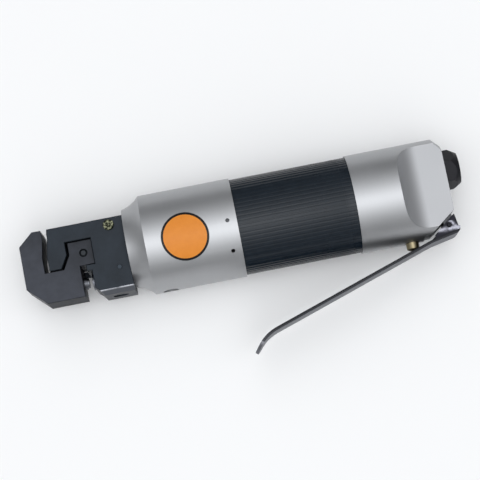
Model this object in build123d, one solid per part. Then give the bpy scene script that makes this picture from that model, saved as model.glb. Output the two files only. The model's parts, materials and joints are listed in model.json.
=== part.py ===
from build123d import *
import os
from math import atan, cos, degrees, pi, radians, sin, sqrt, tan

# Air punch and flange tool, lying on its side. +X runs along the barrel from the nose to the
# air inlet, +Y points away from the lever and +Z up to the label side. The origin is on the
# barrel axis, in the middle of the straight part of the front barrel. Millimetres.

# Fits and clearances
seat_gap = 0.02        # between pieces that are pressed or screwed together
slide_gap = 0.05       # between round sliding pieces
jaw_gap = 0.3          # between the moving jaw and the head, up and down
jaw_side_gap = 0.1     # between the moving jaw and the head, side to side
rest_gap = 0.3         # between pieces that nearly touch at rest
contact_gap = 0.06     # between stem and lever
roller_gap = 0.2       # between roller and wedge at both ends of the stroke
bend_gap = 1.0         # between the lever ears and the housing

# Front barrel
barrel_wall = 2.0
barrel_straight = 45.1
cove_length = 9.0
cove_depth = 5.3
cove_sag = 0.8
vent_d = 2.0
vent_turn = 34.75       # from the middle of the side towards the lever, degrees
vent_from_grip = 4.5
spanner_hole_turn = 0.75
lock_screw_d = 5.0
lock_screw_from_cove = 7.6
lock_screw_seat_d = 7.7
lock_screw_seat = 2.0
lock_screw_sink = 0.4
lock_screw_key = 2.5

# Grip and cylinder
grip_length = 57.3
grip_wall = 1.2
rib_count = 70
rib_depth = 0.35
rib_share = 0.55
rib_flank = 0.15
tube_d = 44.8
tube_wall = 2.0
tube_front_socket = 9.5
tube_rear_socket = 7.5
seat_washer_thickness = 2.0
seat_washer_bore = 26.0

# Head shank and its tenon
shank_d = 34.0
shank_wall = 2.0
tenon_d = 21.0
tenon_length = 10.95
shank_web = 4.0
shank_end_wall = 2.0

# Head frame
head_thickness = 24.0
head_block_length = 16.7
head_top = 15.0
head_bottom = 21.8
head_bevel = 2.3
head_edge = 0.25
tongue_reach = 20.65    # tongue face ahead of the head block
tongue_root = 12.7      # back of the tongue ahead of the head block
tongue_foot = 16.3      # back of the tongue at its lower end
tongue_bottom = 5.4
tongue_lead = 0.4
lead_height = 12.6
top_bar_height = 7.95
joggle = 1.5
joggle_height = 6.2
joggle_rise = 9.0
shelf_length = 4.4
shelf_top = 5.8
shelf_bottom = 8.7
lip_reach = 3.6         # lip of the lower cheek beside the jaw, ahead of the shelf
throat_wall = 1.9
corner_x = 1.75
corner_y = 1.4
corner_height = 4.2
heel_x = 1.9

# Moving jaw
jaw_thickness = 20.8
jaw_travel = 2.1
flange_gap = 2.4
nose_length = 11.7
nose_top = 15.3
nose_flat = 4.6
nose_chamfer_height = 6.2
jaw_bottom = 20.5
heel_chamfer_x = 8.9
heel_chamfer_y = 8.6
jaw_edge = 0.25
post_gap = 1.0
throat_room = 0.9
stop_room = 1.0

# Punch and die
punch_d = 5.0
punch_body_d = 6.2
punch_body_out = 1.4
punch_tip_out = 1.0
punch_hold = 10.0
punch_drop = 12.9
punch_gap = 1.8
die_d = 8.0
die_length = 5.5
die_slack = 0.1
die_relief = 0.5
die_land = 2.5
slug_d = 6.2
slug_angle = 53.0

# Draw bar with its collar, pins and spring
draw_bar_d = 10.0
tang_bottom = 3.0
tang_top = 3.9
tang_width = 5.8
tang_length = 9.6
jaw_pin_d = 4.0
jaw_pin_height = 0.6
jaw_pin_setback = 4.7
jaw_pin_chamfer = 0.9
collar_d = 14.8
collar_length = 1.5
counterbore_d = 15.0
trunnion_d = 5.0
trunnion_tail = 3.6
jaw_spring_wire = 1.1
jaw_spring_turns = 2.0

# Screws and dowels in the head cheeks
head_screw_d = 5.3
head_screw_head = 0.9
head_screw_shank_d = 3.5
head_screw_length = 10.0
head_screw_ahead = 7.0
head_screw_height = 11.4
head_screw_slot = 0.9
head_screw_turn = 35.0
head_dowel_d = 2.5
head_dowel_out = 0.3
head_dowel_length = 8.0
head_dowel_ahead = 5.3
head_dowel_drop = 9.6

# Rocker, roller and wedge
pivot_setback = 9.55
pivot_height = 9.5
pivot_d = 5.0
hub_d = 8.0
tine_width = 9.5
tine_thickness = 2.7
tine_gap = 0.3
tine_below = 1.2
tine_room = 1.0
arm_reach = 26.0
arm_drop = 7.5
arm_height = 6.4
arm_width = 11.6
roller_d = 9.0
roller_width = 7.0
roller_side_gap = 0.15
roller_room = 1.0
roller_pin_d = 3.5
wedge_travel = 18.0
wedge_nose = 1.2
wedge_bottom = 7.0
wedge_flat_length = 26.0
guide_front = 18.0
guide_rear = 2.5
shank_end_gap = 0.3

# Piston and return spring
rod_d = 16.0
piston_length = 12.0
piston_gap = 0.1
piston_seal_d = 2.4
stud_d = 8.0
nut_flats = 13.0
nut_length = 6.5
nut_recess_d = 18.0
nut_recess_depth = 9.0
bumper_gap = 2.0
bumper_bore = 21.0
bumper_length = 4.75
return_spring_gap = 1.6
return_spring_wire = 2.4
return_spring_turns = 8.0

# Rear housing
housing_wall = 1.85
housing_length = 46.35
housing_chamfer = 3.55
flat_width = 27.0
flat_length = 12.4
flat_cove = 11.5
relief_depth = 1.45
relief_length = 15.85
lever_cut_inset = 10.65
lever_cut_angle = 37.0
tube_seal_d = 1.2
tube_seal_from_end = 3.0
port_d = 5.0

# Valve
valve_from_tail = 21.7
bush_d = 7.6
bush_sink = 0.5
bush_top = 6.0
stem_d = 6.2
stem_dome = 5.0
stem_neck_d = 4.4
stem_head_d = 10.8
stem_head_length = 1.8
stem_seal_d = 0.9
stem_seal_drop = 10.0
seat_d = 8.0
seat_height = 3.0
seal_thickness = 1.4
chamber_d = 12.0
plug_length = 7.1
plug_sink = 1.25
plug_key = 6.0
plug_key_depth = 4.0
valve_spring_d = 7.6
valve_spring_wire = 1.0
valve_spring_turns = 5.0

# Air inlet
inlet_height = 8.1
inlet_flats = 17.0
inlet_turn = 15.0
inlet_out = 7.9
inlet_collar = 4.0
inlet_face_d = 15.0
inlet_stub_d = 16.0
inlet_stub_length = 11.0
inlet_bore = 11.2
inlet_mouth_d = 13.6
inlet_passage_d = 9.0
screen_thickness = 1.0
screen_hole_d = 1.5
screen_pitch = 2.4

# Lever
lever_width = 16.0
lever_thickness = 1.5
lever_angle = 18.17
lever_reach = 96.65     # pivot to the bend, along the barrel
lever_drop = 2.27       # pivot to the upper face of the strip
lever_tail = 4.4        # strip behind the pivot, along the barrel
lever_tip = 10.0
lever_tip_angle = 32.0
lever_tip_flat = 1.0
lever_bend = 20.0
ear_thickness = 1.5
ear_front = 7.6
ear_height = 8.5
ear_crown = 0.4
toe_rise = 1.6
lever_heel = 2.3
heel_height = 2.4
heel_angle = 11.5
heel_reach = 9.5        # pivot to the start of the heel, along the barrel
lever_pin_d = 2.4
lever_pin_out = 0.8
lug_d = 4.6
lug_gap = 0.2
pivot_from_tail = 3.2
pivot_inset = 4.35

# Diameters and depths that follow the tube and the shank
barrel_d = tube_d + 2 * barrel_wall
barrel_nose_d = barrel_d - 2 * cove_depth
grip_d = tube_d + 2 * grip_wall
housing_d = tube_d + 2 * housing_wall
shank_bore = shank_d - 2 * shank_wall
tube_bore = tube_d - 2 * tube_wall
bumper_d = tube_bore - 2 * bumper_gap
return_spring_d = tube_bore - 2 * return_spring_gap - return_spring_wire
lever_cut_height = housing_d / 2 - lever_cut_inset
pivot_drop = housing_d / 2 - pivot_inset

# Stations along the barrel
x_rear = barrel_straight / 2
x_cove = -barrel_straight / 2
x_front = x_cove - cove_length
x_washer = x_rear - tube_front_socket - seat_washer_thickness
x_tube = x_washer + seat_washer_thickness
x_grip = x_rear + grip_length
x_wall = x_grip + tube_rear_socket
x_tail = x_grip + housing_length
x_block = x_front - head_block_length
x_tenon = x_front - tenon_length
x_piston_rear = x_wall - bumper_length - rest_gap
x_piston = x_piston_rear - piston_length
x_valve = x_tail - valve_from_tail

# Head stations
x_tongue = x_block - tongue_reach
x_nose = x_tongue - flange_gap - nose_length
x_pocket = x_block + jaw_travel + stop_room
x_throat = x_block - throat_wall
x_shelf = x_block - shelf_length
x_jaw_wall = x_shelf - jaw_travel - throat_room
x_punch = x_jaw_wall + punch_body_out + punch_tip_out
x_die = x_punch + punch_gap
post_top = head_top - top_bar_height - jaw_gap
knee_height = (head_top - top_bar_height - tongue_bottom) / 2
post_bottom = jaw_gap - shelf_top

# Rocker and wedge geometry: the fork swings the trunnion through the jaw travel
swing = 2 * atan(jaw_travel / 2 / pivot_height)
x_pivot = x_front + pivot_setback
x_trunnion = x_pivot - jaw_travel / 2
roller_x = x_pivot + arm_reach
roller_y = pivot_height - arm_drop
roller_end_x = x_pivot + arm_reach * cos(swing) + arm_drop * sin(swing)
roller_end_y = pivot_height + arm_reach * sin(swing) - arm_drop * cos(swing)
wedge_slope = (roller_end_y - roller_y) / (wedge_travel + roller_end_x - roller_x)
wedge_angle = atan(wedge_slope)
x_wedge = roller_x - wedge_nose
wedge_top = roller_y - (roller_d / 2 + roller_gap) / cos(wedge_angle) - wedge_nose * wedge_slope

# Lever geometry: the upper face of the strip is a sloping line under the pivot
x_lever = x_tail - pivot_from_tail
lever_slope = tan(radians(lever_angle))
lever_line_drop = pivot_drop + lever_drop / cos(radians(lever_angle))


def lever_line(x):
    """Height of the upper face of the lever strip at a station."""
    return -lever_line_drop + (x - x_lever) * lever_slope


def heel_line(x):
    """Height of the upper face of the heel, which slopes less than the strip."""
    start = x_lever - heel_reach
    return lever_line(start) + (x - start) * tan(radians(heel_angle))


stem_end = lever_line(x_valve) + (stem_dome + contact_gap) / cos(radians(lever_angle)) - stem_dome


def rod_x(x0, x1, diameter, y=0.0, z=0.0):
    """Round bar along X."""
    bar = Cylinder(diameter / 2, x1 - x0, align=(Align.CENTER, Align.CENTER, Align.MIN))
    return Pos(x0, y, z) * Rot(0, 90, 0) * bar


def rod_y(y0, y1, diameter, x=0.0, z=0.0):
    """Round bar along Y."""
    bar = Cylinder(diameter / 2, y1 - y0, align=(Align.CENTER, Align.CENTER, Align.MIN))
    return Pos(x, y0, z) * Rot(-90, 0, 0) * bar


def rod_z(z0, z1, diameter, x=0.0, y=0.0):
    """Round bar along Z."""
    bar = Cylinder(diameter / 2, z1 - z0, align=(Align.CENTER, Align.CENTER, Align.MIN))
    return Pos(x, y, z0) * bar


def block(x0, x1, y0, y1, z0, z1):
    """Box between two corners."""
    box = Box(x1 - x0, y1 - y0, z1 - z0, align=(Align.MIN, Align.MIN, Align.MIN))
    return Pos(x0, y0, z0) * box


def plate(points, thickness):
    """Plate with an outline in the XY plane, centred on Z = 0."""
    outline = make_face(Polyline(*points, close=True))
    return Pos(0, 0, -thickness / 2) * extrude(outline, amount=thickness, dir=(0, 0, 1))


def prism_x(points, x0, x1):
    """Prism along X with an outline given as (y, z) points."""
    outline = make_face(Polyline(*[(x0, y, z) for y, z in points], close=True))
    return extrude(outline, amount=x1 - x0, dir=(1, 0, 0))


def ring_x(x0, x1, outer_d, inner_d):
    """Plain ring about the X axis."""
    return rod_x(x0, x1, outer_d) - rod_x(x0, x1, inner_d)


def seal_x(x, outer_d, cord_d):
    """O-ring about the X axis."""
    return Pos(x, 0, 0) * Rot(0, 90, 0) * Torus((outer_d - cord_d) / 2, cord_d / 2)


def hexagon_x(x0, x1, flats):
    """Hexagon bar along X."""
    end = Plane(origin=(x0, 0, 0), x_dir=(0, 1, 0), z_dir=(1, 0, 0))
    face = end * RegularPolygon(flats / 2, 6, major_radius=False)
    return extrude(face, amount=x1 - x0, dir=(1, 0, 0))


def coil(length, mean_d, wire_d, turns, name):
    """Round wire compression spring along Z from 0 to its length, on biarcs of a quarter turn."""
    radius = mean_d / 2
    rise = (length - wire_d) / turns
    quarters = round(turns * 4)
    slope = rise / (2 * pi)

    def point(angle):
        return Vector(radius * cos(angle), radius * sin(angle), wire_d / 2 + slope * angle)

    def heading(angle):
        return Vector(-radius * sin(angle), radius * cos(angle), slope).normalized()

    arcs = []
    for quarter in range(quarters):
        start, end = quarter * pi / 2, (quarter + 1) * pi / 2
        p0, p1 = point(start), point(end)
        t0, t1 = heading(start), heading(end)
        chord, both = p1 - p0, t0 + t1
        spread = 2 * (1 - t0.dot(t1))
        along = chord.dot(both)
        reach = (sqrt(along * along + spread * chord.dot(chord)) - along) / spread
        q0, q1 = p0 + t0 * reach, p1 - t1 * reach
        middle = (q0 + q1) * 0.5
        arcs.append(TangentArc(p0, middle, tangent=t0))
        arcs.append(TangentArc(middle, p1, tangent=q1 - q0))
    section = Plane(origin=point(0), z_dir=heading(0)) * Circle(wire_d / 2)
    print(name, "least gap between turns", round(rise - wire_d, 2))
    return sweep(section, path=Wire(arcs))


def head_frame():
    """Fixed head: block with the top bar, the tongue, the shelf over the throat and the seats."""
    half = head_thickness / 2
    under_bar = head_top - top_bar_height
    outline = [
        (x_tongue + tongue_lead, head_top),
        (x_tongue, lead_height),
        (x_tongue, joggle_height + joggle_rise / 2),
        (x_tongue - joggle, joggle_height - joggle_rise / 2),
        (x_tongue - joggle, -tongue_bottom),
        (x_block - tongue_foot, -tongue_bottom),
        (x_block - tongue_root, knee_height),
        (x_block - tongue_root, under_bar),
        (x_block, under_bar),
        (x_block, -shelf_top),
        (x_shelf, -shelf_top),
        (x_shelf, -shelf_bottom),
        (x_throat, -shelf_bottom),
        (x_throat, corner_height - head_bottom),
        (x_throat + corner_x, corner_height - corner_y - head_bottom),
        (x_block + heel_x, -head_bottom),
        (x_front, -head_bottom),
        (x_front, head_top),
    ]
    frame = plate(outline, head_thickness)
    rims = frame.faces().filter_by(Axis.Z).edges()
    frame = chamfer(rims, head_edge)
    corner = [(-head_bottom, half), (head_bevel - head_bottom, half), (-head_bottom, half - head_bevel)]
    bevel = prism_x(corner, x_throat, x_front)
    frame -= bevel + mirror(bevel, about=Plane.XY)
    side = jaw_thickness / 2 + jaw_side_gap
    frame -= block(x_block - jaw_gap, x_pocket, -shelf_top, under_bar, -side, side)
    frame += block(x_shelf - lip_reach, x_shelf + head_edge, -shelf_bottom, -shelf_top, -half, -side)
    frame -= rod_x(x_pocket, x_tenon, draw_bar_d + 4 * slide_gap)
    frame -= rod_x(x_tenon, x_front, tenon_d + 2 * seat_gap)
    frame -= rod_x(x_die, x_die + die_length, die_d + 2 * seat_gap, -punch_drop)
    frame -= Pos(x_die + die_length, -punch_drop, 0) * Rot(0, 0, -slug_angle) * rod_x(0, head_bottom, slug_d)
    return frame - cheek_holes()


def cheek_holes():
    """Holes for the screws and the dowels, from both cheeks."""
    half = head_thickness / 2
    x_screw, x_dowel = x_front - head_screw_ahead, x_front - head_dowel_ahead
    screw_bore, dowel_bore = head_screw_shank_d + 2 * seat_gap, head_dowel_d + 2 * seat_gap
    upper = [
        rod_z(half - head_screw_length, half, screw_bore, x_screw, head_screw_height),
        rod_z(half - head_dowel_length, half, dowel_bore, x_dowel, -head_dowel_drop),
    ]
    return upper + [mirror(hole, about=Plane.XY) for hole in upper]


def head_shank():
    """Hollow shank that screws into the barrel, with the tenon that carries the head frame."""
    end = x_washer - shank_end_gap
    body = rod_x(x_tenon, x_front, tenon_d) + rod_x(x_front, end, shank_d)
    body -= rod_x(x_front + shank_end_wall, end, shank_bore)
    body -= rod_x(x_tenon, x_tenon + counterbore_depth(), counterbore_d)
    body -= rod_x(x_tenon, end, draw_bar_d + 2 * slide_gap)
    window = tine_window()
    reach = tine_width / 2 + tine_room
    body -= block(x_pivot - reach, x_pivot + reach, 0, shank_d, -window, window)
    body -= rod_z(-shank_d, shank_d, pivot_d + 2 * seat_gap, x_pivot, pivot_height)
    body -= rod_y(-shank_d, 0, lock_screw_d + 2 * seat_gap, x_cove + lock_screw_from_cove)
    return body - cheek_holes()


def counterbore_depth():
    """Depth of the spring pocket in the tenon, up to the web that guides the draw bar."""
    return tenon_length - shank_web


def tine_window():
    """Half width of the window in the shank that the rocker hub stands in."""
    return draw_bar_d / 2 + tine_gap + tine_thickness + 2 * tine_gap


def head_screws():
    """Two plated slotted screws, one in each cheek."""
    half = head_thickness / 2
    x, y = x_front - head_screw_ahead, head_screw_height
    screw = rod_z(half - head_screw_length, half, head_screw_shank_d, x, y)
    screw += rod_z(half, half + head_screw_head, head_screw_d, x, y)
    rim = screw.faces().sort_by(Axis.Z)[-1].edges()
    screw = chamfer(rim, head_screw_head / 3)
    slot = Rot(0, 0, head_screw_turn) * Box(head_screw_d, head_screw_slot, head_screw_head)
    screw -= Pos(x, y, half + head_screw_head) * slot
    return [screw, mirror(screw, about=Plane.XY)]


def head_dowels():
    """Two dowels, one in each cheek, that pin the tenon."""
    half = head_thickness / 2
    x, y = x_front - head_dowel_ahead, -head_dowel_drop
    dowel = rod_z(half - head_dowel_length, half + head_dowel_out, head_dowel_d, x, y)
    dowel = fillet(dowel.faces().sort_by(Axis.Z)[-1].edges(), head_dowel_out)
    return [dowel, mirror(dowel, about=Plane.XY)]


def moving_jaw():
    """Sliding hook jaw: nose, lower bar with the punch, and the post that the draw bar pulls."""
    x_land = x_tongue - flange_gap
    post_left = x_block - tongue_root + post_gap
    post_foot = x_block - tongue_foot + post_gap
    bar_top = -tongue_bottom - jaw_gap
    outline = [
        (x_nose, heel_chamfer_y - jaw_bottom),
        (x_nose, nose_top - nose_chamfer_height),
        (x_land - nose_flat, nose_top),
        (x_land - tongue_lead, nose_top),
        (x_land, lead_height + flange_gap / 2),
        (x_land, joggle_height + joggle_rise / 2),
        (x_land - joggle, joggle_height - joggle_rise / 2),
        (x_land - joggle, bar_top),
        (post_foot, bar_top),
        (post_left, knee_height),
        (post_left, post_top),
        (x_block, post_top),
        (x_block, post_bottom),
        (x_jaw_wall, post_bottom),
        (x_jaw_wall, -jaw_bottom),
        (x_nose + heel_chamfer_x, -jaw_bottom),
    ]
    jaw = plate(outline, jaw_thickness)
    jaw = chamfer(jaw.faces().filter_by(Axis.Z).edges(), jaw_edge)
    half = jaw_thickness / 2
    tang_front = x_block - tang_length
    socket = tang_width / 2 + seat_gap
    jaw -= block(tang_front, x_block, -tang_bottom - seat_gap, tang_top + seat_gap, -socket, socket)
    jaw -= rod_z(-half, half, jaw_pin_d + 2 * seat_gap, x_block - jaw_pin_setback, jaw_pin_height)
    jaw -= rod_x(x_jaw_wall - punch_hold, x_jaw_wall, punch_body_d + 2 * seat_gap, -punch_drop)
    return jaw


def punch():
    """Hardened punch pressed into the jaw."""
    shoulder = x_jaw_wall + punch_body_out
    body = rod_x(x_jaw_wall - punch_hold, shoulder, punch_body_d, -punch_drop)
    return body + rod_x(shoulder, x_punch, punch_d, -punch_drop)


def punch_die():
    """Hardened die ring pressed into the head frame, relieved behind its land."""
    body = rod_x(x_die, x_die + die_length, die_d, -punch_drop)
    bore = punch_d + 2 * die_slack
    body -= rod_x(x_die, x_die + die_length, bore, -punch_drop)
    return body - rod_x(x_die + die_land, x_die + die_length, bore + 2 * die_relief, -punch_drop)


def jaw_pin():
    """Cross pin through the jaw post and the tang of the draw bar, with chamfered ends."""
    half = jaw_thickness / 2
    pin = rod_z(-half, half, jaw_pin_d, x_block - jaw_pin_setback, jaw_pin_height)
    return chamfer(pin.edges().filter_by(GeomType.CIRCLE), jaw_pin_chamfer)


def draw_bar():
    """Bar that pulls the jaw: flat tang, collar for the spring and a bore for the trunnion."""
    tang_front = x_block - tang_length
    collar = x_tenon + rest_gap / 2
    half = tang_width / 2
    bar = block(tang_front, x_pocket, -tang_bottom, tang_top, -half, half)
    bar += rod_x(x_block, x_trunnion + trunnion_tail, draw_bar_d)
    bar += rod_x(collar, collar + collar_length, collar_d)
    bar -= rod_z(-half, half, jaw_pin_d + 2 * seat_gap, x_block - jaw_pin_setback, jaw_pin_height)
    return bar - rod_z(-draw_bar_d, draw_bar_d, trunnion_d + 2 * seat_gap, x_trunnion)


def jaw_spring():
    """Spring on the draw bar that opens the jaw."""
    start = x_tenon + rest_gap / 2 + collar_length + seat_gap
    end = x_tenon + counterbore_depth() - seat_gap
    mean = (draw_bar_d + counterbore_d) / 2
    spring = coil(end - start, mean, jaw_spring_wire, jaw_spring_turns, "jaw spring")
    return Pos(start, 0, 0) * Rot(0, 90, 0) * spring


def trunnion_pin():
    """Cross pin of the draw bar that the fork of the rocker pulls."""
    reach = draw_bar_d / 2 + tine_gap + tine_thickness + tine_gap
    return rod_z(-reach, reach, trunnion_d, x_trunnion)


def rocker():
    """Bell crank: forked short arm on the trunnion, long arm with a slot for the roller."""
    arm_length = sqrt(arm_reach ** 2 + arm_drop ** 2)
    arm_turn = -degrees(atan(arm_drop / arm_reach))
    arm_face = Rot(0, 0, arm_turn) * Pos(arm_length / 2, 0) * SlotCenterToCenter(arm_length, arm_height)
    crank = Pos(0, 0, -arm_width / 2) * extrude(arm_face, amount=arm_width, dir=(0, 0, 1))
    crank += rod_z(-arm_width / 2, arm_width / 2, hub_d)
    inner = draw_bar_d / 2 + tine_gap
    fork_length = pivot_height + tine_below
    tilt = -degrees(swing) / 2
    fork_face = Rot(0, 0, 90) * SlotCenterToCenter(fork_length, tine_width)
    fork_face = Rot(0, 0, tilt) * Pos(0, -fork_length / 2) * fork_face
    tine = Pos(0, 0, inner) * extrude(fork_face, amount=tine_thickness, dir=(0, 0, 1))
    crank += tine + mirror(tine, about=Plane.XY)
    gauge = trunnion_d + 2 * slide_gap
    mouth = block(-gauge / 2, gauge / 2, -tine_width, 0, -2 * inner, 2 * inner)
    slot = mouth + rod_z(-2 * inner, 2 * inner, gauge)
    crank -= Rot(0, 0, tilt) * Pos(0, slide_gap - pivot_height, 0) * slot
    room = roller_width / 2 + roller_side_gap
    crank -= rod_z(-room, room, roller_d + 2 * roller_room, arm_reach, -arm_drop)
    crank -= rod_z(-arm_width, arm_width, roller_pin_d + 2 * seat_gap, arm_reach, -arm_drop)
    crank -= rod_z(-arm_width, arm_width, pivot_d + 2 * slide_gap)
    return Pos(x_pivot, pivot_height, 0) * crank


def rocker_pin():
    """Pivot of the rocker, held in the shank."""
    reach = sqrt((shank_d / 2) ** 2 - (pivot_height + pivot_d / 2) ** 2)
    return rod_z(-reach, reach, pivot_d, x_pivot, pivot_height)


def rocker_roller():
    """Roller that runs up the wedge."""
    half = roller_width / 2
    roller = rod_z(-half, half, roller_d, roller_x, roller_y)
    return roller - rod_z(-half, half, roller_pin_d + 2 * slide_gap, roller_x, roller_y)


def roller_pin():
    """Pin of the roller, pressed into the arm."""
    return rod_z(-arm_width / 2, arm_width / 2, roller_pin_d, roller_x, roller_y)


def wedge_guide():
    """Bronze pad in the shank that backs the wedge."""
    start, end = roller_x - guide_front, roller_x + guide_rear
    radius = shank_bore / 2 - seat_gap
    pad = rod_x(start, end, 2 * radius)
    return pad & block(start, end, -radius, -wedge_bottom - slide_gap, -radius, radius)


def piston_rod():
    """Piston rod with the wedge at its nose and the stud for the piston."""
    body = rod_x(x_wedge, x_piston, rod_d)
    reach = rod_d / wedge_slope
    ramp = [
        (x_wedge, wedge_top),
        (x_wedge + reach, wedge_top + rod_d),
        (x_wedge, wedge_top + rod_d),
    ]
    body -= plate(ramp, rod_d)
    body -= block(x_wedge, x_wedge + wedge_flat_length, -rod_d, -wedge_bottom, -rod_d, rod_d)
    return body + rod_x(x_piston, x_piston_rear + nut_length, stud_d)


def piston():
    """Piston with its seal groove."""
    body = ring_x(x_piston, x_piston_rear, tube_bore - 2 * piston_gap, stud_d + 2 * seat_gap)
    middle = (x_piston + x_piston_rear) / 2
    half = piston_seal_d / 2 + seat_gap
    groove = ring_x(middle - half, middle + half, tube_bore, tube_bore - 2 * piston_seal_d - 2 * slide_gap)
    return body - groove


def piston_seal():
    """O-ring of the piston."""
    return seal_x((x_piston + x_piston_rear) / 2, tube_bore - 2 * seat_gap, piston_seal_d)


def piston_nut():
    """Nut that holds the piston on its rod."""
    nut = hexagon_x(x_piston_rear, x_piston_rear + nut_length, nut_flats)
    return nut - rod_x(x_piston_rear, x_piston_rear + nut_length, stud_d + 2 * seat_gap)


def piston_bumper():
    """Rubber ring that the piston rests on."""
    return ring_x(x_wall - bumper_length, x_wall, bumper_d, bumper_bore)


def return_spring():
    """Spring that sends the piston back."""
    start, end = x_tube + seat_gap, x_piston - seat_gap
    spring = coil(end - start, return_spring_d, return_spring_wire, return_spring_turns, "return spring")
    return Pos(start, 0, 0) * Rot(0, 90, 0) * spring


def spring_seat():
    """Washer between the barrel shoulder and the tube."""
    return ring_x(x_washer, x_tube, tube_d - 2 * seat_gap, seat_washer_bore)


def side_holes(turn):
    """A small hole in each side near the grip, turned towards the lever."""
    hole = Rot(turn, 0, 0) * rod_z(0, barrel_d, vent_d, x_rear - vent_from_grip)
    return [hole, mirror(hole, about=Plane.XY)]


def front_barrel():
    """Turned barrel with the cove behind the head, vents, spanner holes and the lock screw's seat."""
    nose, full = barrel_nose_d / 2, barrel_d / 2
    lean = atan(cove_depth / cove_length)
    middle = (
        (x_front + x_cove) / 2 + cove_sag * sin(lean),
        (nose + full) / 2 - cove_sag * cos(lean),
    )
    profile = Curve() + [
        Line((x_front, 0), (x_front, nose)),
        ThreePointArc((x_front, nose), middle, (x_cove, full)),
        Line((x_cove, full), (x_rear, full)),
        Line((x_rear, full), (x_rear, 0)),
        Line((x_rear, 0), (x_front, 0)),
    ]
    body = revolve(make_face(profile), axis=Axis.X)
    body -= rod_x(x_front, x_washer, shank_d + 2 * seat_gap)
    body -= rod_x(x_washer, x_rear, tube_d + 2 * seat_gap)
    body -= side_holes(vent_turn) + side_holes(-spanner_hole_turn)
    x_lock = x_cove + lock_screw_from_cove
    body -= rod_y(-barrel_d, lock_screw_seat - full, lock_screw_seat_d, x_lock)
    return body - rod_y(-barrel_d, 0, lock_screw_d + 2 * seat_gap, x_lock)


def head_lock_screw():
    """Set screw that locks the shank in the barrel."""
    x = x_cove + lock_screw_from_cove
    bottom = lock_screw_seat + lock_screw_sink - barrel_d / 2
    top = -shank_bore / 2 - seat_gap
    screw = rod_y(bottom, top, lock_screw_d, x)
    key_plane = Plane(origin=(x, bottom, 0), z_dir=(0, 1, 0))
    key_face = key_plane * RegularPolygon(lock_screw_key / 2, 6, major_radius=False)
    return screw - extrude(key_face, amount=lock_screw_key, dir=(0, 1, 0))


def cylinder_tube():
    """Cylinder between barrel and housing, with the vent holes and the seal groove."""
    tube = ring_x(x_tube, x_wall, tube_d, tube_bore)
    seal = x_wall - tube_seal_from_end
    half = tube_seal_d / 2 + seat_gap
    tube -= ring_x(seal - half, seal + half, tube_d, tube_d - 2 * tube_seal_d - 2 * seat_gap)
    return tube - side_holes(vent_turn)


def grip_sleeve():
    """Ribbed sleeve over the tube."""
    top, root = grip_d / 2, grip_d / 2 - rib_depth
    pitch = 2 * pi / rib_count
    points = []
    for rib in range(rib_count):
        edges = ((0, top), (rib_share, top), (rib_share + rib_flank, root), (1 - rib_flank, root))
        for share, radius in edges:
            angle = (rib + share) * pitch
            points.append((x_rear, radius * cos(angle), radius * sin(angle)))
    sleeve = extrude(make_face(Polyline(*points, close=True)), amount=grip_length, dir=(1, 0, 0))
    return sleeve - rod_x(x_rear, x_grip, tube_d + 2 * seat_gap)


def housing_seal():
    """O-ring between tube and housing."""
    return seal_x(x_wall - tube_seal_from_end, tube_d, tube_seal_d)


def rear_housing():
    """Valve housing: turned body with side flats, lever lug, valve bore and inlet bore."""
    full, end = housing_d / 2, housing_d / 2 - housing_chamfer
    x_bevel = x_tail - housing_chamfer
    outline = [(x_grip, 0), (x_grip, full), (x_bevel, full), (x_tail, end), (x_tail, 0)]
    body = revolve(make_face(Polyline(*outline, close=True)), axis=Axis.X)
    flat = flat_width / 2
    x_flat = x_tail - flat_length
    x_crest, crest = x_flat - flat_cove, flat + flat_cove
    turn = flat_cove * sin(pi / 4)
    side = Curve() + [
        Line((x_tail, -full, flat), (x_flat, -full, flat)),
        ThreePointArc((x_flat, -full, flat), (x_flat - turn, -full, crest - turn), (x_crest, -full, crest)),
        Line((x_crest, -full, crest), (x_tail, -full, crest)),
        Line((x_tail, -full, crest), (x_tail, -full, flat)),
    ]
    cut = extrude(make_face(side), amount=2 * full, dir=(0, 1, 0))
    body -= cut + mirror(cut, about=Plane.XY)
    body -= block(x_tail - relief_length, x_tail, -2 * full, relief_depth - full, -full, full)
    run = full / tan(radians(lever_cut_angle))
    corner = [
        (x_tail, -lever_cut_height),
        (x_tail - run, -lever_cut_height - full),
        (x_tail, -lever_cut_height - full),
    ]
    body -= plate(corner, 2 * full)
    half = lever_width / 2 - ear_thickness - lug_gap
    lug_front, lug_back = x_lever - lug_d / 2, x_lever + lug_d / 2
    body += rod_z(-half, half, lug_d, x_lever, -pivot_drop)
    body += block(lug_front, lug_back, -pivot_drop, -lever_cut_height, -half, half)
    body -= rod_x(x_grip, x_wall, tube_d + 2 * seat_gap)
    body -= rod_x(x_wall, x_wall + nut_recess_depth, nut_recess_d)
    body -= rod_x(x_wall, x_valve, port_d)
    body -= rod_y(-full, -bush_top, bush_d + 2 * seat_gap, x_valve)
    body -= rod_y(-bush_top, seat_height, seat_d, x_valve)
    body -= rod_y(seat_height, full, chamber_d, x_valve)
    x_stub = x_tail - inlet_stub_length - screen_thickness
    body -= rod_x(x_valve, x_tail, inlet_passage_d, inlet_height)
    body -= rod_x(x_stub, x_tail, inlet_stub_d + 2 * seat_gap, inlet_height)
    return body - rod_z(-full, full, lever_pin_d + 2 * seat_gap, x_lever, -pivot_drop)


def valve_bush():
    """Brass bush that guides the valve stem."""
    bottom = bush_sink - housing_d / 2
    bush = rod_y(bottom, -bush_top, bush_d, x_valve)
    return bush - rod_y(bottom, -bush_top, stem_d + 2 * slide_gap, x_valve)


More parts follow.
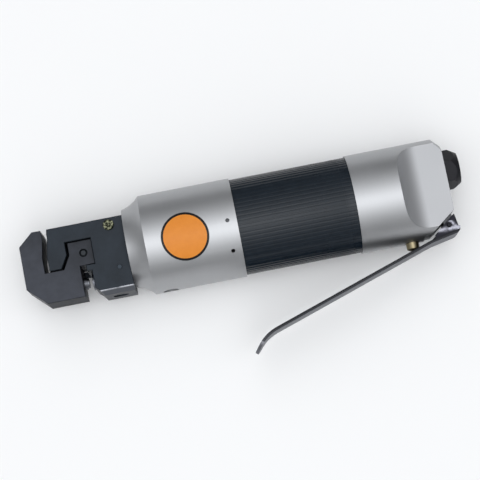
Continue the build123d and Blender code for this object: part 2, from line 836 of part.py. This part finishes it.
def valve_stem():
    """Brass valve stem with a domed end, a seal groove, a neck and its head."""
    neck_top = seat_height + seat_gap + seal_thickness
    dome = Pos(x_valve, stem_end + stem_dome, 0) * Sphere(stem_dome)
    stem = rod_y(stem_end, stem_end + stem_dome, stem_d, x_valve) & dome
    stem += rod_y(stem_end + stem_dome, -bush_top, stem_d, x_valve)
    stem += rod_y(-bush_top, neck_top, stem_neck_d, x_valve)
    stem += rod_y(neck_top, neck_top + stem_head_length, stem_head_d, x_valve)
    half = stem_seal_d / 2 + seat_gap
    low, high = -stem_seal_drop - half, -stem_seal_drop + half
    groove = rod_y(low, high, 2 * stem_d, x_valve)
    groove -= rod_y(low, high, stem_d - 2 * stem_seal_d + slide_gap, x_valve)
    return stem - groove


def stem_seal():
    """O-ring of the valve stem."""
    ring = Torus((stem_d + slide_gap - stem_seal_d) / 2, stem_seal_d / 2)
    return Pos(x_valve, -stem_seal_drop, 0) * Rot(90, 0, 0) * ring


def valve_seal():
    """Rubber washer under the head of the stem."""
    bottom = seat_height + seat_gap
    seal = rod_y(bottom, bottom + seal_thickness, stem_head_d, x_valve)
    return seal - rod_y(bottom, bottom + seal_thickness, stem_neck_d + 2 * seat_gap, x_valve)


def valve_plug():
    """Screw plug over the valve chamber, with a hexagon socket."""
    top = housing_d / 2 - plug_sink
    plug = rod_y(top - plug_length, top, chamber_d - 2 * seat_gap, x_valve)
    key_plane = Plane(origin=(x_valve, top - plug_key_depth, 0), z_dir=(0, 1, 0))
    key_face = key_plane * RegularPolygon(plug_key / 2, 6, major_radius=False)
    return plug - extrude(key_face, amount=plug_key_depth, dir=(0, 1, 0))


def valve_spring():
    """Spring that closes the valve."""
    bottom = seat_height + seat_gap + seal_thickness + stem_head_length + seat_gap
    top = housing_d / 2 - plug_sink - plug_length - seat_gap
    spring = coil(top - bottom, valve_spring_d, valve_spring_wire, valve_spring_turns, "valve spring")
    return Pos(x_valve, bottom, 0) * Rot(-90, 0, 0) * spring


def inlet_bushing():
    """Hexagon inlet bushing with a threaded bore, drawn at its tapping size."""
    stub = x_tail - inlet_stub_length
    face = x_tail + inlet_out
    corner = inlet_flats / sqrt(3)
    head = Rot(inlet_turn, 0, 0) * hexagon_x(x_tail, face, inlet_flats)
    outline = [
        (x_tail, 0),
        (x_tail, corner),
        (x_tail + inlet_collar, corner),
        (face, inlet_face_d / 2),
        (face, 0),
    ]
    head &= revolve(make_face(Polyline(*outline, close=True)), axis=Axis.X)
    body = head + rod_x(stub, x_tail, inlet_stub_d)
    body -= rod_x(stub, face, inlet_bore)
    lead = (inlet_mouth_d - inlet_bore) / 2
    mouth = Cone(inlet_bore / 2, inlet_mouth_d / 2, lead, align=(Align.CENTER, Align.CENTER, Align.MAX))
    body -= Pos(face, 0, 0) * Rot(0, 90, 0) * mouth
    return Pos(0, inlet_height, 0) * body


def inlet_screen():
    """Perforated strainer disc under the bushing."""
    start = x_tail - inlet_stub_length - screen_thickness
    disc = rod_x(start, start + screen_thickness, inlet_stub_d, inlet_height)
    rows = int(inlet_bore / 2 / screen_pitch)
    holes = []
    for row in range(-rows, rows + 1):
        for column in range(-rows, rows + 1):
            y, z = row * screen_pitch, column * screen_pitch
            if y * y + z * z <= (inlet_bore / 2 - screen_hole_d / 2) ** 2:
                holes.append(rod_x(start, start + screen_thickness, screen_hole_d, inlet_height + y, z))
    return disc - holes


def lever():
    """Bent throttle lever: strip with a turned-up heel, and two ears on the pivot."""
    tail = x_lever + lever_tail
    bend = x_lever - lever_reach
    tip_angle = radians(lever_angle + lever_tip_angle)
    down = lever_thickness / 2 / cos(radians(lever_angle))
    heel = (tail, heel_line(tail) - down, 0)
    back = (tail, heel[1] + heel_height, 0)
    seat = (x_lever, heel_line(x_lever) - down, 0)
    break_point = (x_lever - heel_reach, lever_line(x_lever - heel_reach) - down, 0)
    knee = (bend, lever_line(bend) - down, 0)
    tip = (bend - lever_tip * cos(tip_angle), knee[1] - lever_tip * sin(tip_angle), 0)
    rear_half = FilletPolyline(back, heel, seat, radius=lever_heel)
    front_half = FilletPolyline(seat, break_point, knee, tip, radius=lever_bend)
    path = Wire(rear_half.edges() + front_half.edges())
    across = Plane(origin=back, x_dir=(0, 0, 1), z_dir=(0, -1, 0))
    strip = sweep(across * Rectangle(lever_width, lever_thickness), path=path)
    corners = strip.edges().filter_by(lambda edge: abs(edge.length - lever_thickness) < seat_gap)
    strip = fillet(corners.sort_by(Axis.X)[:2], (lever_width - lever_tip_flat) / 2)
    cut = radians(lever_cut_angle)
    toe = x_lever - ear_front
    apex = heel_line(x_lever) + ear_height
    x_apex = x_tail + bend_gap / sin(cut) + (apex + lever_cut_height) / tan(cut)
    outline = [
        (toe, heel_line(toe) - down),
        (toe, heel_line(toe) + toe_rise),
        (x_apex, apex),
        (x_apex + ear_crown, apex),
        back[:2],
        heel[:2],
    ]
    ear = extrude(make_face(Polyline(*outline, close=True)), amount=ear_thickness, dir=(0, 0, 1))
    ear = Pos(0, 0, lever_width / 2 - ear_thickness) * ear
    both = strip + ear + mirror(ear, about=Plane.XY)
    return both - rod_z(-lever_width, lever_width, lever_pin_d + 2 * slide_gap, x_lever, -pivot_drop)


def lever_pin():
    """Pivot pin of the lever, pressed into the lug."""
    reach = lever_width / 2 + lever_pin_out
    pin = rod_z(-reach, reach, lever_pin_d, x_lever, -pivot_drop)
    return chamfer(pin.edges().filter_by(GeomType.CIRCLE), lever_pin_out / 3)


pieces = [
    head_frame, head_shank, head_screws, head_dowels, moving_jaw, punch, punch_die, jaw_pin,
    draw_bar, jaw_spring, trunnion_pin, rocker, rocker_pin, rocker_roller, roller_pin, wedge_guide,
    front_barrel, head_lock_screw, spring_seat, return_spring, cylinder_tube, grip_sleeve,
    piston_rod, piston, piston_seal, piston_nut, piston_bumper, rear_housing, housing_seal,
    valve_bush, valve_stem, stem_seal, valve_seal, valve_spring, valve_plug, inlet_bushing,
    inlet_screen, lever, lever_pin,
]

os.makedirs("parts", exist_ok=True)
for piece in pieces:
    shape = piece()
    if isinstance(shape, list):
        shape = Compound(children=shape)
    export_step(shape, "parts/" + piece.__name__ + ".step")
print("rocker swing", round(degrees(swing), 3), "degrees")
print("pivot", round(x_pivot, 3), "lever pivot", round(x_lever, 3), "valve", round(x_valve, 3))
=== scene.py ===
import json
from math import cos, radians, sin, tan

import bpy
from mathutils import Matrix, Vector


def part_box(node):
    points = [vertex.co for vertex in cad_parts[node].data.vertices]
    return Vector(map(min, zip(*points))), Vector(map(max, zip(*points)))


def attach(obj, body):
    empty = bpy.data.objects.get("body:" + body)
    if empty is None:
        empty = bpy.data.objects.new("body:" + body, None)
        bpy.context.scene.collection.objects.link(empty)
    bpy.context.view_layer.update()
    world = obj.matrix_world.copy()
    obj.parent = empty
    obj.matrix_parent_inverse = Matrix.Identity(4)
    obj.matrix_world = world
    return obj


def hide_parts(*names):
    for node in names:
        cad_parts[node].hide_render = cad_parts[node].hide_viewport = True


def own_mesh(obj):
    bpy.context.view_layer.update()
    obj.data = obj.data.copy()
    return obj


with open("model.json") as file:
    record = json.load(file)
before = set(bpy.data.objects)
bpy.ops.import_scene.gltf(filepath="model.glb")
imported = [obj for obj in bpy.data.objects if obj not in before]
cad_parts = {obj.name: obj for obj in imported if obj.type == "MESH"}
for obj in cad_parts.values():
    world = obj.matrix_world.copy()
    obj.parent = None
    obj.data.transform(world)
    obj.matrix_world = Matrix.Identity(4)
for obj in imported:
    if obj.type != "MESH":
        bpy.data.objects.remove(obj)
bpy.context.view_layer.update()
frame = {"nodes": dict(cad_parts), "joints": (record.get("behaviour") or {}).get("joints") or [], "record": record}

# Sizes in metres, in the frame of the solids: +X from nose to inlet, +Y away from the lever,
# +Z out of the label side. The scale of a noise is per metre.
MM = 0.001
nodes = frame["nodes"]
barrel_low, barrel_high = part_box("front_barrel")
barrel_radius = barrel_high.z
floor_height = barrel_low.z

# Viewpoint: the camera hangs over the tool, a little to the lever side
view_distance = 870 * MM
view_near = 10 * MM
view_angle = radians(15.35)
view_tilt = radians(9.0)
tool_slope = radians(11.05)
aim_x = 22.55 * MM
aim_below_axis = 6.2 * MM
camera_ahead = 14.0 * MM

# Floor and light in a dim room: a soft glow overhead, a little to the lever side, a long narrow
# lamp in its middle, and a weak light beyond the nose
floor_size = 4.0
glow_turn = radians(-7.0)
glow_light = 2.55
glow_across = radians(45.0)
glow_along = radians(19.0)
lamp_light = 1.5
lamp_across = radians(11.0)
lamp_along = radians(60.0)
nose_light = 0.35
nose_turn = radians(-45.0)
nose_across = radians(60.0)
nose_along = radians(25.0)
room_light = 0.225
room_tint = (0.97, 0.983, 1.0, 1.0)

# Fine marks in the finishes: how deep they are, and how rough every noise is
turning_depth = 0.1 * MM
grain_depth = 0.2 * MM
spot_depth = 0.4 * MM
noise_roughness = 0.55

# Housing: milled inside the skin radius, with two side flats and the cut for the lever, whose walls get painted
# shade
skin_radius = 24.0 * MM
milled_start = 100.0 * MM
flat_height = 13.3 * MM
cut_top = -5.0 * MM
cut_end = 126.5 * MM

# Head and jaw: the lower bevel with painted light and a painted highlight along its edge, and where the jaw is
# paler
bevel_edge = -19.5 * MM
bevel_side = 9.7 * MM
highlight_side = 11.3 * MM
highlight_width = 0.32 * MM
skin_depth = 0.1 * MM
jaw_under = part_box("moving_jaw")[0].y + skin_depth
paler_start = 50.0 * MM
paler_end = 78.0 * MM

# Lever: the strip with its heel, the folded ears and the painted highlights on them
pivot_x = 123.0 * MM
strip_height = -22.29 * MM      # upper face of the strip under the pivot
strip_slope = tan(radians(18.17))
heel_start = 113.5 * MM
heel_slope = tan(radians(11.5))
lever_side = 7.85 * MM
lever_thickness = 1.5 * MM
fold_start = 105.0 * MM
fold_depth = -0.2               # in thicknesses of the strip, down from its upper face
ear_start = 115.4 * MM
low_highlight_y = -21.6 * MM
low_highlight_width = 0.9 * MM
slant_highlight_x = 124.9 * MM
slant_highlight_y = -19.4 * MM
slant_highlight_top = -17.8 * MM
slant_highlight_width = 0.7 * MM
slant_across = (0.81, 0.585)
edge_tint = (0.6, 0.6, 0.62, 1.0)

# Grip: its gloss fades between the first two places and comes back between the last two
gloss_end = 32.0 * MM
dull_start = 72.0 * MM
dull_end = 75.0 * MM
shine_start = 78.0 * MM
rib_ease = 0.8                  # how far the ribs shade as one round surface

# Label on the barrel
label_radius = 11.55 * MM
label_rim = 1.1 * MM
label_thickness = 0.1 * MM
label_x = -3.1 * MM
label_turn = radians(-7.8)
label_points = 96
label_rings = 12
label_smooth = radians(40)

# Sockets of a Mix node by type of data: first input, second input, output
mix_sockets = {"RGBA": (6, 7, 2), "VECTOR": (4, 5, 1)}


class Shade:
    """A socket of a finish. Arithmetic on it adds Math nodes, and node() adds any other node."""

    def __init__(self, tree, socket):
        self.tree = tree
        self.socket = socket

    def node(self, kind, settings=None, links=None, out=0):
        made = self.tree.nodes.new(kind)
        for name, value in (settings or {}).items():
            setattr(made, name, value)
        for name, value in (links or {}).items():
            if isinstance(value, Shade):
                self.tree.links.new(value.socket, made.inputs[name])
            else:
                made.inputs[name].default_value = value
        return Shade(self.tree, made.outputs[out])

    def math(self, operation, *values):
        return self.node("ShaderNodeMath", {"operation": operation}, dict(enumerate(values)))

    def __add__(self, other):
        return self.math("ADD", self, other)

    def __radd__(self, other):
        return self.math("ADD", other, self)

    def __sub__(self, other):
        return self.math("SUBTRACT", self, other)

    def __rsub__(self, other):
        return self.math("SUBTRACT", other, self)

    def __mul__(self, other):
        return self.math("MULTIPLY", self, other)

    def __rmul__(self, other):
        return self.math("MULTIPLY", other, self)

    def __truediv__(self, other):
        return self.math("DIVIDE", self, other)

    def __pow__(self, other):
        return self.math("POWER", self, other)

    def __abs__(self):
        return self.math("ABSOLUTE", self)

    def above(self, level):
        return self.math("GREATER_THAN", self, level)

    def below(self, level):
        return 1 - self.above(level)

    def larger(self, other):
        return self.math("MAXIMUM", self, other)

    def smaller(self, other):
        return self.math("MINIMUM", self, other)

    def between(self, low, high):
        """0 below low, 1 above high, a straight rise between them."""
        links = {"Value": self, "From Min": low, "From Max": high}
        return self.node("ShaderNodeMapRange", links=links)

    def noise(self, scale, detail):
        links = {"Vector": self, "Scale": scale, "Detail": detail, "Roughness": noise_roughness}
        return self.node("ShaderNodeTexNoise", links=links)

    def stretched(self, scale):
        """The same coordinates with their own scale along each axis."""
        links = {"Vector": self, "Scale": scale}
        return self.node("ShaderNodeMapping", {"vector_type": "POINT"}, links)

    def parts(self):
        split = self.node("ShaderNodeSeparateXYZ", links={"Vector": self}).socket.node
        return [Shade(self.tree, output) for output in split.outputs]

    def mix(self, low, high):
        """Colour that goes from low to high as this value goes from 0 to 1."""
        first, second, out = mix_sockets["RGBA"]
        links = {"Factor": self, first: low, second: high}
        return self.node("ShaderNodeMix", {"data_type": "RGBA"}, links, out)

    def bump(self, strength, depth, normal=None):
        links = {"Height": self, "Strength": strength, "Distance": depth}
        if normal:
            links["Normal"] = normal
        return self.node("ShaderNodeBump", links=links)


def rgb(red, green, blue):
    """Linear colour from the usual 0 to 255 values."""
    def linear(value):
        value /= 255
        return value / 12.92 if value <= 0.04045 else ((value + 0.055) / 1.055) ** 2.4
    return (linear(red), linear(green), linear(blue), 1.0)


def fall_off(value):
    """1 where the value is 0, down to 0 on both sides."""
    return value.math("EXPONENT", 0 - value * value)


class Finish:
    """One material: a principled shader and the object's own coordinates."""

    def __init__(self, name, **constants):
        self.material = bpy.data.materials.new(name)
        self.material.use_nodes = True
        self.tree = self.material.node_tree
        self.shader = self.tree.nodes["Principled BSDF"]
        coordinates = self.tree.nodes.new("ShaderNodeTexCoord")
        self.place = Shade(self.tree, coordinates.outputs["Object"])
        for key, value in constants.items():
            self.shader.inputs[key.replace("_", " ")].default_value = value

    def rounded(self, share):
        """The surface's normal, turned by this share towards straight out from the barrel axis."""
        outward = self.place.stretched((0.0, 1.0, 1.0))
        outward = outward.node("ShaderNodeVectorMath", {"operation": "NORMALIZE"}, {0: outward})
        turn = {"vector_type": "NORMAL", "convert_from": "OBJECT", "convert_to": "WORLD"}
        outward = outward.node("ShaderNodeVectorTransform", turn, {"Vector": outward})
        normal = outward.node("ShaderNodeNewGeometry", out="Normal")
        first, second, out = mix_sockets["VECTOR"]
        links = {"Factor": share, first: normal, second: outward}
        return outward.node("ShaderNodeMix", {"data_type": "VECTOR"}, links, out)

    def feed(self, **inputs):
        for key, value in inputs.items():
            self.tree.links.new(value.socket, self.shader.inputs[key.replace("_", " ")])
        return self.material


def oxide_marks(finish):
    """The clouds of blackened steel, and its fine ground grain along the tool."""
    cloud = finish.place.noise(140.0, 4.0)
    grain = finish.place.stretched((600.0, 6000.0, 6000.0)).noise(1.0, 2.0)
    return cloud, grain


def black_oxide(name, dark, light):
    """Blackened steel, with painted light on the lower bevel and a painted highlight along its edge."""
    finish = Finish(name, Metallic=0.6)
    _, y, z = finish.place.parts()
    cloud, grain = oxide_marks(finish)
    tone = cloud.between(0.3, 0.7) * 0.7 + grain * 0.3
    patchy = finish.place.noise(220.0, 3.0).between(0.2, 0.6)
    # Painted highlight in a thin patchy line along the bevel's edge, and painted light on the bevel itself
    edge_highlight = abs(y - bevel_edge).below(highlight_width) * abs(z).above(highlight_side) * patchy
    bevel_painted_light = y.below(bevel_edge) * abs(z).above(bevel_side)
    oxide_and_bevel_light = bevel_painted_light.mix(tone.mix(dark, light), rgb(90, 93, 99))
    colour = edge_highlight.mix(oxide_and_bevel_light, rgb(170, 172, 178))
    roughness = 0.4 + cloud * 0.12 + grain * 0.06 - edge_highlight * 0.12
    bumps = grain.bump(0.08, grain_depth)
    return finish.feed(Base_Color=colour, Roughness=roughness, Normal=bumps)


def jaw_oxide(name, dark, light):
    """Blackened steel of the jaw, paler towards the nose and the lever side. Its outer face
    on the lever side is darker and duller."""
    finish = Finish(name, Metallic=0.6)
    x, y, _ = finish.place.parts()
    cloud, grain = oxide_marks(finish)
    paler_towards_nose = (0 - x - y).between(paler_start, paler_end) * y.above(jaw_under)
    tone = cloud.between(0.3, 0.7) * 0.35 + grain * 0.2 + paler_towards_nose * 0.45
    roughness = 0.4 + cloud * 0.12 + grain * 0.06 + y.below(jaw_under) * 0.16
    bumps = grain.bump(0.08, grain_depth)
    return finish.feed(Base_Color=tone.mix(dark, light), Roughness=roughness, Normal=bumps)


def turned_aluminium(name):
    """Satin aluminium with fine turning marks round the barrel. The milled side flats are paler
    and duller, and the walls of the cut for the lever are painted darker as shade."""
    finish = Finish(name, Metallic=1.0)
    x, y, z = finish.place.parts()
    milled = x.above(milled_start) * (y * y + z * z).below(skin_radius ** 2)
    # Walls of the cut for the lever: painted shade, where the lever shades the housing
    cut_with_painted_shade = milled * abs(z).below(flat_height) * y.below(cut_top) * x.below(cut_end)
    along = finish.place.stretched((1.0, 0.0, 0.0))
    fine = along.noise(7000.0, 2.0)
    broad = along.noise(420.0, 3.0)
    cloud = finish.place.noise(60.0, 3.0)
    tone = cloud * 0.5 + fine * 0.3 + broad * 0.2
    turned = tone.between(0.2, 0.8).mix(rgb(162, 163, 165), rgb(174, 175, 177))
    flat = tone.mix(rgb(172, 173, 175), rgb(180, 181, 184))
    colour = milled.mix(turned, cut_with_painted_shade.mix(flat, rgb(116, 117, 120)))
    roughness = 0.37 + cloud * 0.08 + fine * 0.06 + milled * 0.12
    bumps = (fine * 0.6 + broad * 0.4).bump(0.06, turning_depth)
    return finish.feed(Base_Color=colour, Roughness=roughness, Normal=bumps)


def plain_metal(name, dark, light, roughness):
    """Machined metal, a little cloudy."""
    finish = Finish(name, Metallic=1.0)
    cloud = finish.place.noise(220.0, 3.0)
    return finish.feed(Base_Color=cloud.mix(dark, light), Roughness=roughness + cloud * 0.1)


def speckled_plate(name, dark, light):
    """Yellow passivated zinc in small spots: dark duller ones, and brighter smoother ones painted as glints."""
    finish = Finish(name, Metallic=1.0)
    spots_and_glints = finish.place.noise(900.0, 3.0)
    # The brighter spots are painted glints
    tone = spots_and_glints.between(0.46, 0.7)
    roughness = 0.5 - tone * 0.25
    bumps = spots_and_glints.bump(0.3, spot_depth)
    return finish.feed(Base_Color=tone.mix(dark, light), Roughness=roughness, Normal=bumps)


def grip_rubber(name):
    """Black ribbed rubber with a fine grain along the ribs. The worn ribs shade nearly as one
    round surface, glossier towards the barrel and at the rear end."""
    finish = Finish(name, Specular_IOR_Level=0.22)
    x, _, _ = finish.place.parts()
    gloss = 1 - x.between(gloss_end, dull_start) * (1 - x.between(dull_end, shine_start))
    cloud = finish.place.noise(300.0, 4.0)
    grain = finish.place.stretched((250.0, 2600.0, 2600.0)).noise(1.0, 3.0)
    tone = cloud * 0.4 + grain * 0.6
    colour = tone.between(0.3, 0.7).mix(rgb(15, 23, 31), rgb(27, 36, 45))
    roughness = 0.26 - gloss * 0.18 + tone * 0.1
    bumps = grain.bump(0.15, grain_depth, finish.rounded(rib_ease))
    return finish.feed(Base_Color=colour, Roughness=roughness, Normal=bumps)


def seal_rubber(name):
    """Matt black rubber."""
    finish = Finish(name)
    speck = finish.place.noise(1800.0, 2.0)
    colour = speck.mix(rgb(20, 20, 21), rgb(34, 34, 35))
    return finish.feed(Base_Color=colour, Roughness=0.6 + speck * 0.15)


def plated_lever(name):
    """Nickel plated strip with faint streaks along its length, darker cut edges with painted shade
    towards the upper face, and ears painted dark as reflection, with painted bright highlights."""
    finish = Finish(name, Metallic=1.0, Specular_Tint=edge_tint)
    x, y, z = finish.place.parts()
    strip_line = strip_height + (x - pivot_x) * strip_slope
    heel_height = strip_height + (heel_start - pivot_x) * strip_slope
    heel_line = heel_height + (x - heel_start) * heel_slope
    depth = (strip_line.smaller(heel_line) - y) / lever_thickness
    side = abs(z).above(lever_side)
    raised = x.above(fold_start) * depth.below(fold_depth)
    ear = raised.larger(x.above(ear_start) * side * depth.below(0.0))
    edge = side * (1 - ear)
    streak = finish.place.stretched((60.0, 60.0, 2600.0)).noise(1.0, 3.0)
    cloud = finish.place.noise(90.0, 3.0)
    waves = finish.place.noise(420.0, 2.0)
    tone = (streak * 0.5 + cloud * 0.5).between(0.25, 0.75)
    strip = tone.mix(rgb(100, 101, 105), rgb(122, 123, 128))
    # Cut edges: darker, with painted shade towards the strip's upper face
    cut_with_painted_shade = (depth.between(0.1, 1.0) * 0.8 + tone * 0.2).mix(rgb(28, 29, 31), rgb(66, 67, 70))
    # Ears: a painted dark reflection with painted highlights in two streaks, broken up by a noise
    low_highlight = fall_off((y - low_highlight_y) / low_highlight_width)
    slant = (x - slant_highlight_x) * slant_across[0] + (y - slant_highlight_y) * slant_across[1]
    slant_highlight = fall_off(slant / slant_highlight_width) * y.below(slant_highlight_top)
    painted_highlight = low_highlight.larger(slant_highlight) * waves.between(0.3, 0.55)
    ear_painted_reflection = painted_highlight.mix(rgb(34, 34, 39), rgb(148, 148, 158))
    colour = ear.mix(edge.mix(strip, cut_with_painted_shade), ear_painted_reflection)
    roughness = 0.26 + cloud * 0.14 + edge * 0.2
    bumps = streak.bump(0.05, grain_depth)
    return finish.feed(Base_Color=colour, Roughness=roughness, Normal=bumps)


def blackened_steel(name):
    """Satin black steel of the inlet bushing and the lock screw."""
    finish = Finish(name, Metallic=0.3, Specular_IOR_Level=0.35)
    cloud = finish.place.noise(180.0, 4.0)
    colour = cloud.mix(rgb(9, 9, 15), rgb(20, 20, 28))
    return finish.feed(Base_Color=colour, Roughness=0.4 + cloud * 0.16)


def label_print(name):
    """Plain orange label with a black rim."""
    finish = Finish(name, Specular_IOR_Level=0.2, Coat_Weight=0.05, Coat_Roughness=0.15)
    x, y, z = finish.place.parts()
    along = x - label_x
    across = y * cos(label_turn) - z * sin(label_turn)
    radius = (along * along + across * across) ** 0.5
    rim = radius.above(label_radius - label_rim)
    cloud = finish.place.noise(400.0, 3.0)
    orange = cloud.mix(rgb(216, 129, 40), rgb(227, 142, 52))
    colour = rim.mix(orange, rgb(8, 6, 5))
    return finish.feed(Base_Color=colour, Roughness=0.34 + cloud * 0.12)


# A finish for each material slot of the record, and for the pieces that differ from their slot
finishes = {
    "head_steel": black_oxide("head_black_oxide", rgb(19, 26, 33), rgb(36, 43, 51)),
    "shank_steel": plain_metal("shank_steel", rgb(120, 121, 124), rgb(150, 151, 154), 0.4),
    "tool_steel": plain_metal("tool_steel", rgb(126, 128, 132), rgb(156, 158, 162), 0.3),
    "ground_steel": plain_metal("ground_steel", rgb(130, 132, 136), rgb(160, 162, 166), 0.25),
    "black_steel": blackened_steel("blackened_steel"),
    "yellow_zinc": speckled_plate("yellow_zinc", rgb(32, 35, 27), rgb(130, 131, 108)),
    "spring_steel": plain_metal("spring_wire", rgb(96, 98, 102), rgb(140, 142, 146), 0.35),
    "bronze": plain_metal("bronze", rgb(150, 112, 66), rgb(190, 146, 92), 0.35),
    "satin_aluminium": turned_aluminium("satin_aluminium"),
    "plain_aluminium": plain_metal(
        "plain_aluminium", rgb(150, 151, 154), rgb(170, 171, 174), 0.35),
    "grip_rubber": grip_rubber("grip_rubber"),
    "seal_rubber": seal_rubber("seal_rubber"),
    "brass": plain_metal("brass", rgb(131, 121, 95), rgb(166, 155, 126), 0.3),
    "plated_steel": plated_lever("plated_lever"),
}
node_finishes = {
    "moving_jaw": jaw_oxide("jaw_black_oxide", rgb(12, 15, 20), rgb(61, 64, 72)),
    "punch_die": plain_metal("die_steel", rgb(92, 94, 100), rgb(120, 123, 130), 0.35),
    "punch": plain_metal("punch_steel", rgb(84, 86, 90), rgb(112, 114, 120), 0.3),
    "lever_pin": plain_metal("lever_pin_steel", rgb(24, 24, 27), rgb(40, 40, 44), 0.35),
    # The tube is darker and duller than the other aluminium: painted shade where it shows at the bottom of the
    # vent holes
    "cylinder_tube": plain_metal("tube_aluminium_painted_shade", rgb(84, 85, 88), rgb(104, 105, 108), 0.45),
    "jaw_pin": black_oxide("pin_black_oxide", rgb(28, 32, 36), rgb(44, 48, 53)),
    "head_dowels": plain_metal("dowel_steel", rgb(44, 50, 56), rgb(62, 68, 75), 0.4),
}
for part in frame["record"]["subparts"]:
    name = part["node"]
    mesh = nodes[name].data
    mesh.materials.clear()
    mesh.materials.append(node_finishes.get(name) or finishes[part["material_slot"]])


def shortening_spring(node, joint, axis):
    """Coil that stands for a spring, copied from it and attached to the barrel; the spring
    itself is hidden."""
    coil = bpy.data.objects.new(node + "_coil", nodes[node].data.copy())
    bpy.context.scene.collection.objects.link(coil)
    ends = [corner[axis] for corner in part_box(node)]
    direction = Vector()
    direction[axis] = 1
    travel = next(each["range_m"][1] for each in frame["joints"] if each["name"] == joint)
    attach(coil, "barrel")
    1 - travel / (ends[1] - ends[0])
    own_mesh(coil)
    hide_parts(node)


shortening_spring("return_spring", "piston_slide", 0)
shortening_spring("jaw_spring", "jaw_slide", 0)
shortening_spring("valve_spring", "valve_slide", 1)


def clear_selection():
    bpy.ops.object.select_all(action="DESELECT")


def round_label():
    """Thin round label, pressed on the barrel from a place outside it."""
    clear_selection()
    start = 2 * barrel_radius
    bpy.ops.mesh.primitive_circle_add(
        vertices=label_points,
        radius=label_radius,
        fill_type="NGON",
        location=(label_x, start * sin(label_turn), start * cos(label_turn)),
        rotation=(-label_turn, 0, 0),
    )
    label = bpy.context.object
    label.name = "round_label"
    bpy.ops.object.mode_set(mode="EDIT")
    bpy.ops.mesh.select_all(action="SELECT")
    for _ in range(label_rings - 1):
        bpy.ops.mesh.inset(thickness=label_radius / label_rings, depth=0)
    bpy.ops.object.mode_set(mode="OBJECT")
    wrap = label.modifiers.new("press_on", "SHRINKWRAP")
    wrap.target = nodes["front_barrel"]
    wrap.wrap_method = "PROJECT"
    wrap.use_project_z = True
    wrap.use_positive_direction = False
    wrap.use_negative_direction = True
    wrap.offset = label_thickness
    thick = label.modifiers.new("thickness", "SOLIDIFY")
    thick.thickness = label_thickness
    thick.offset = -1
    bpy.ops.object.modifier_apply(modifier=wrap.name)
    bpy.ops.object.modifier_apply(modifier=thick.name)
    bpy.ops.object.transform_apply(location=True, rotation=True, scale=True)
    bpy.ops.object.shade_smooth_by_angle(angle=label_smooth)
    label.data.materials.append(label_print("label_print"))
    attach(label, "barrel")


round_label()


def studio():
    """Pale floor, and a dim room with a soft glow and a lamp overhead and a weak light beyond the
    nose."""
    clear_selection()
    bpy.ops.mesh.primitive_plane_add(size=floor_size, location=(0, 0, floor_height))
    floor = bpy.context.object
    floor.name = "floor"
    finish = Finish("floor_paper", Roughness=0.9, Specular_IOR_Level=0.1)
    colour = finish.place.noise(3.0, 2.0).mix(rgb(246, 246, 246), rgb(248, 248, 248))
    floor.data.materials.append(finish.feed(Base_Color=colour))

    world = bpy.data.worlds.new("studio")
    world.use_nodes = True
    background = world.node_tree.nodes["Background"]
    coordinates = world.node_tree.nodes.new("ShaderNodeTexCoord")
    x, y, z = Shade(world.node_tree, coordinates.outputs["Generated"]).parts()
    along = x.math("ARCSINE", x)
    round_tool = y.math("ARCTAN2", y, z) - glow_turn
    from_line = y.math("ARCSINE", y) - glow_turn
    from_nose = along - nose_turn
    glow = glow_light * fall_off(along / glow_along) * fall_off(round_tool / glow_across)
    lamp = lamp_light * fall_off(along / lamp_along) * fall_off(from_line / lamp_across)
    nose = nose_light * fall_off(from_nose / nose_along) * fall_off(from_line / nose_across)
    strength = room_light + glow + lamp + nose
    world.node_tree.links.new(strength.socket, background.inputs["Strength"])
    background.inputs["Color"].default_value = room_tint
    bpy.context.scene.world = world


def camera():
    """Camera at the photograph's angle; the barrel rises to the right in the picture."""
    up = Vector((0, cos(view_tilt), sin(view_tilt)))
    back = Vector((-camera_ahead / view_distance, -sin(view_tilt), cos(view_tilt))).normalized()
    aim = Vector((aim_x, 0, 0)) - up * aim_below_axis
    across = up.cross(back).normalized()
    up = back.cross(across)
    right = across * cos(tool_slope) - up * sin(tool_slope)
    top = across * sin(tool_slope) + up * cos(tool_slope)
    data = bpy.data.cameras.new("camera")
    data.sensor_fit = "HORIZONTAL"
    data.angle = view_angle
    data.clip_start = view_near
    eye = bpy.data.objects.new("camera", data)
    place = aim + back * view_distance
    axes = Matrix((right, top, back)).transposed().to_4x4()
    eye.matrix_world = Matrix.Translation(place) @ axes
    bpy.context.scene.collection.objects.link(eye)
    bpy.context.scene.camera = eye


studio()
camera()
bpy.context.scene.view_settings.view_transform = "Standard"
